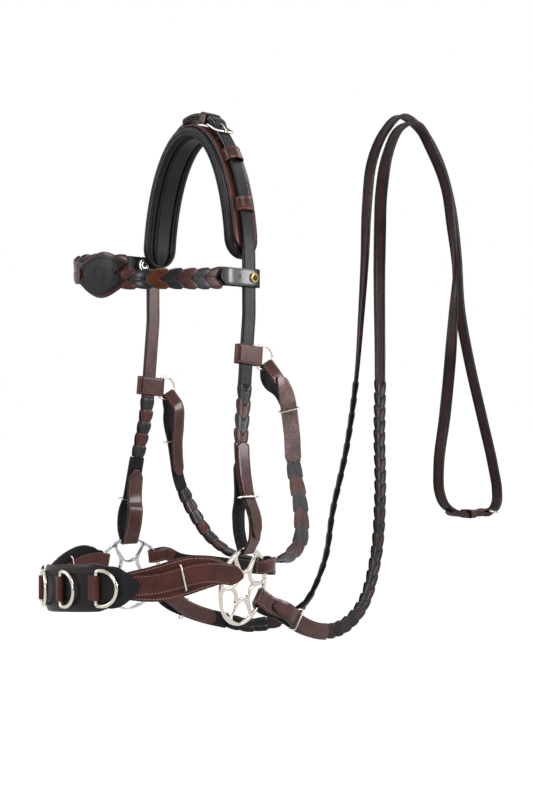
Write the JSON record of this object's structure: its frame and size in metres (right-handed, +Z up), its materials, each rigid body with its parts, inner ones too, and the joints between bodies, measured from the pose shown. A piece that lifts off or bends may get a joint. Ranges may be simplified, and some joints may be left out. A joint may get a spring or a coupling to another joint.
{
  "type": "hackamore bridle",
  "caption": "Bitless bridle: padded headpiece, plaited browband, cheeks, jaw strap and reins, folded strap adjusters, padded noseband with D-rings and pierced side wheels.",
  "frame": {"origin": "underside of the padded headpiece at its crown, where it rests on the poll or on the stand that holds it", "axes": "+Z up, -Y towards the horse's nose, +X towards the horse's near (left) side; the reins hang to +Y over a second peg"},
  "size_m": [0.2528, 0.7877, 0.7079],
  "materials": {
    "brown_leather": "smooth dark brown bridle leather",
    "black_leather": "smooth black bridle leather",
    "nickel": "polished nickel plate",
    "brass": "polished brass"
  },
  "bodies": {
    "bridle": {"headpiece_pad": "black_leather", "headpiece_facing": "brown_leather", "cheek_strap_near": "black_leather", "crown_strap_far": "black_leather", "crown_buckle": "nickel", "pad_keeper_near_1": "brown_leather", "pad_keeper_near_2": "brown_leather", "pad_keeper_far_1": "brown_leather", "pad_keeper_far_2": "brown_leather", "jaw_keeper_near": "brown_leather", "jaw_keeper_far": "brown_leather", "jaw_ring_near": "nickel", "jaw_ring_far": "nickel", "cheek_plait_near": "brown_leather", "cheek_plait_far": "brown_leather", "cheek_near_adjuster": "brown_leather", "cheek_far_adjuster": "brown_leather", "cheek_near_buckle": "nickel", "cheek_far_buckle": "nickel", "nose_pad": "black_leather", "nose_wing_near": "brown_leather", "nose_wing_far": "brown_leather", "nose_billet_near": "brown_leather", "nose_billet_far": "brown_leather", "nose_buckle_near": "nickel", "nose_buckle_far": "nickel", "nose_keeper_near": "brown_leather", "nose_keeper_centre": "brown_leather", "nose_keeper_far": "brown_leather", "curb_strap": "brown_leather", "rein_near_adjuster": "brown_leather", "rein_far_adjuster": "brown_leather", "rein_near_buckle": "nickel", "rein_far_buckle": "nickel", "rein_plait_near": "brown_leather", "rein_plait_far": "brown_leather", "rein_strap_near": "brown_leather", "rein_strap_far": "brown_leather", "rein_buckle": "nickel"},
    "wheel_near": {"wheel_near": "nickel"},
    "wheel_far": {"wheel_far": "nickel"},
    "nose_ring_near": {"nose_ring_near": "nickel"},
    "nose_ring_centre": {"nose_ring_centre": "nickel"},
    "nose_ring_far": {"nose_ring_far": "nickel"},
    "jaw_strap": {"jaw_near_adjuster": "brown_leather", "jaw_far_adjuster": "brown_leather", "jaw_near_buckle": "nickel", "jaw_far_buckle": "nickel", "jaw_plait_near": "brown_leather", "jaw_plait_far": "brown_leather", "jaw_strap_centre": "black_leather"},
    "browband": {"brow_medallion": "black_leather", "brow_plait_near": "brown_leather", "brow_plait_far": "brown_leather", "brow_tab_near": "black_leather", "brow_tab_far": "black_leather", "brow_stud_near": "brass", "brow_stud_far": "nickel"},
    "crown_tongue": {"crown_tongue": "nickel"},
    "rein_tongue": {"rein_tongue": "nickel"}
  },
  "joints": [
    {"name": "wheel_near_turn", "type": "hinge", "parent": "bridle", "child": "wheel_near", "pos_m": [0.106, -0.0242, -0.5226], "axis": [0.969, 0.2237, -0.1045], "range_deg": [-3, 3]},
    {"name": "wheel_far_turn", "type": "hinge", "parent": "bridle", "child": "wheel_far", "pos_m": [-0.106, -0.0245, -0.5277], "axis": [-0.9925, 0.1219, 0], "range_deg": [-3, 3]},
    {"name": "nose_ring_near_swing", "type": "hinge", "parent": "bridle", "child": "nose_ring_near", "pos_m": [0.05171, -0.18871, -0.51514], "axis": [0, 0, -1], "range_deg": [0, 150]},
    {"name": "nose_ring_centre_swing", "type": "hinge", "parent": "bridle", "child": "nose_ring_centre", "pos_m": [-0.00207, -0.19778, -0.5202], "axis": [0, 0, -1], "range_deg": [0, 150]},
    {"name": "nose_ring_far_swing", "type": "hinge", "parent": "bridle", "child": "nose_ring_far", "pos_m": [-0.05171, -0.18871, -0.52486], "axis": [0, 0, -1], "range_deg": [0, 150]},
    {"name": "jaw_strap_swing", "type": "hinge", "parent": "bridle", "child": "jaw_strap", "pos_m": [0.08971, 0.02358, -0.26266], "axis": [0.9824, 0.011, 0.1863], "range_deg": [-3, 12]},
    {"name": "browband_slide", "type": "slide", "parent": "bridle", "child": "browband", "axis": [0, 0, 1], "range_m": [-0.012, 0]},
    {"name": "crown_tongue_swing", "type": "hinge", "parent": "bridle", "child": "crown_tongue", "pos_m": [0.031, 0, 0.01318], "axis": [0, -1, 0], "range_deg": [0, 60]},
    {"name": "rein_tongue_swing", "type": "hinge", "parent": "bridle", "child": "rein_tongue", "pos_m": [0, 0.55252, -0.476], "axis": [-1, 0, 0], "range_deg": [0, 60]}
  ]
}
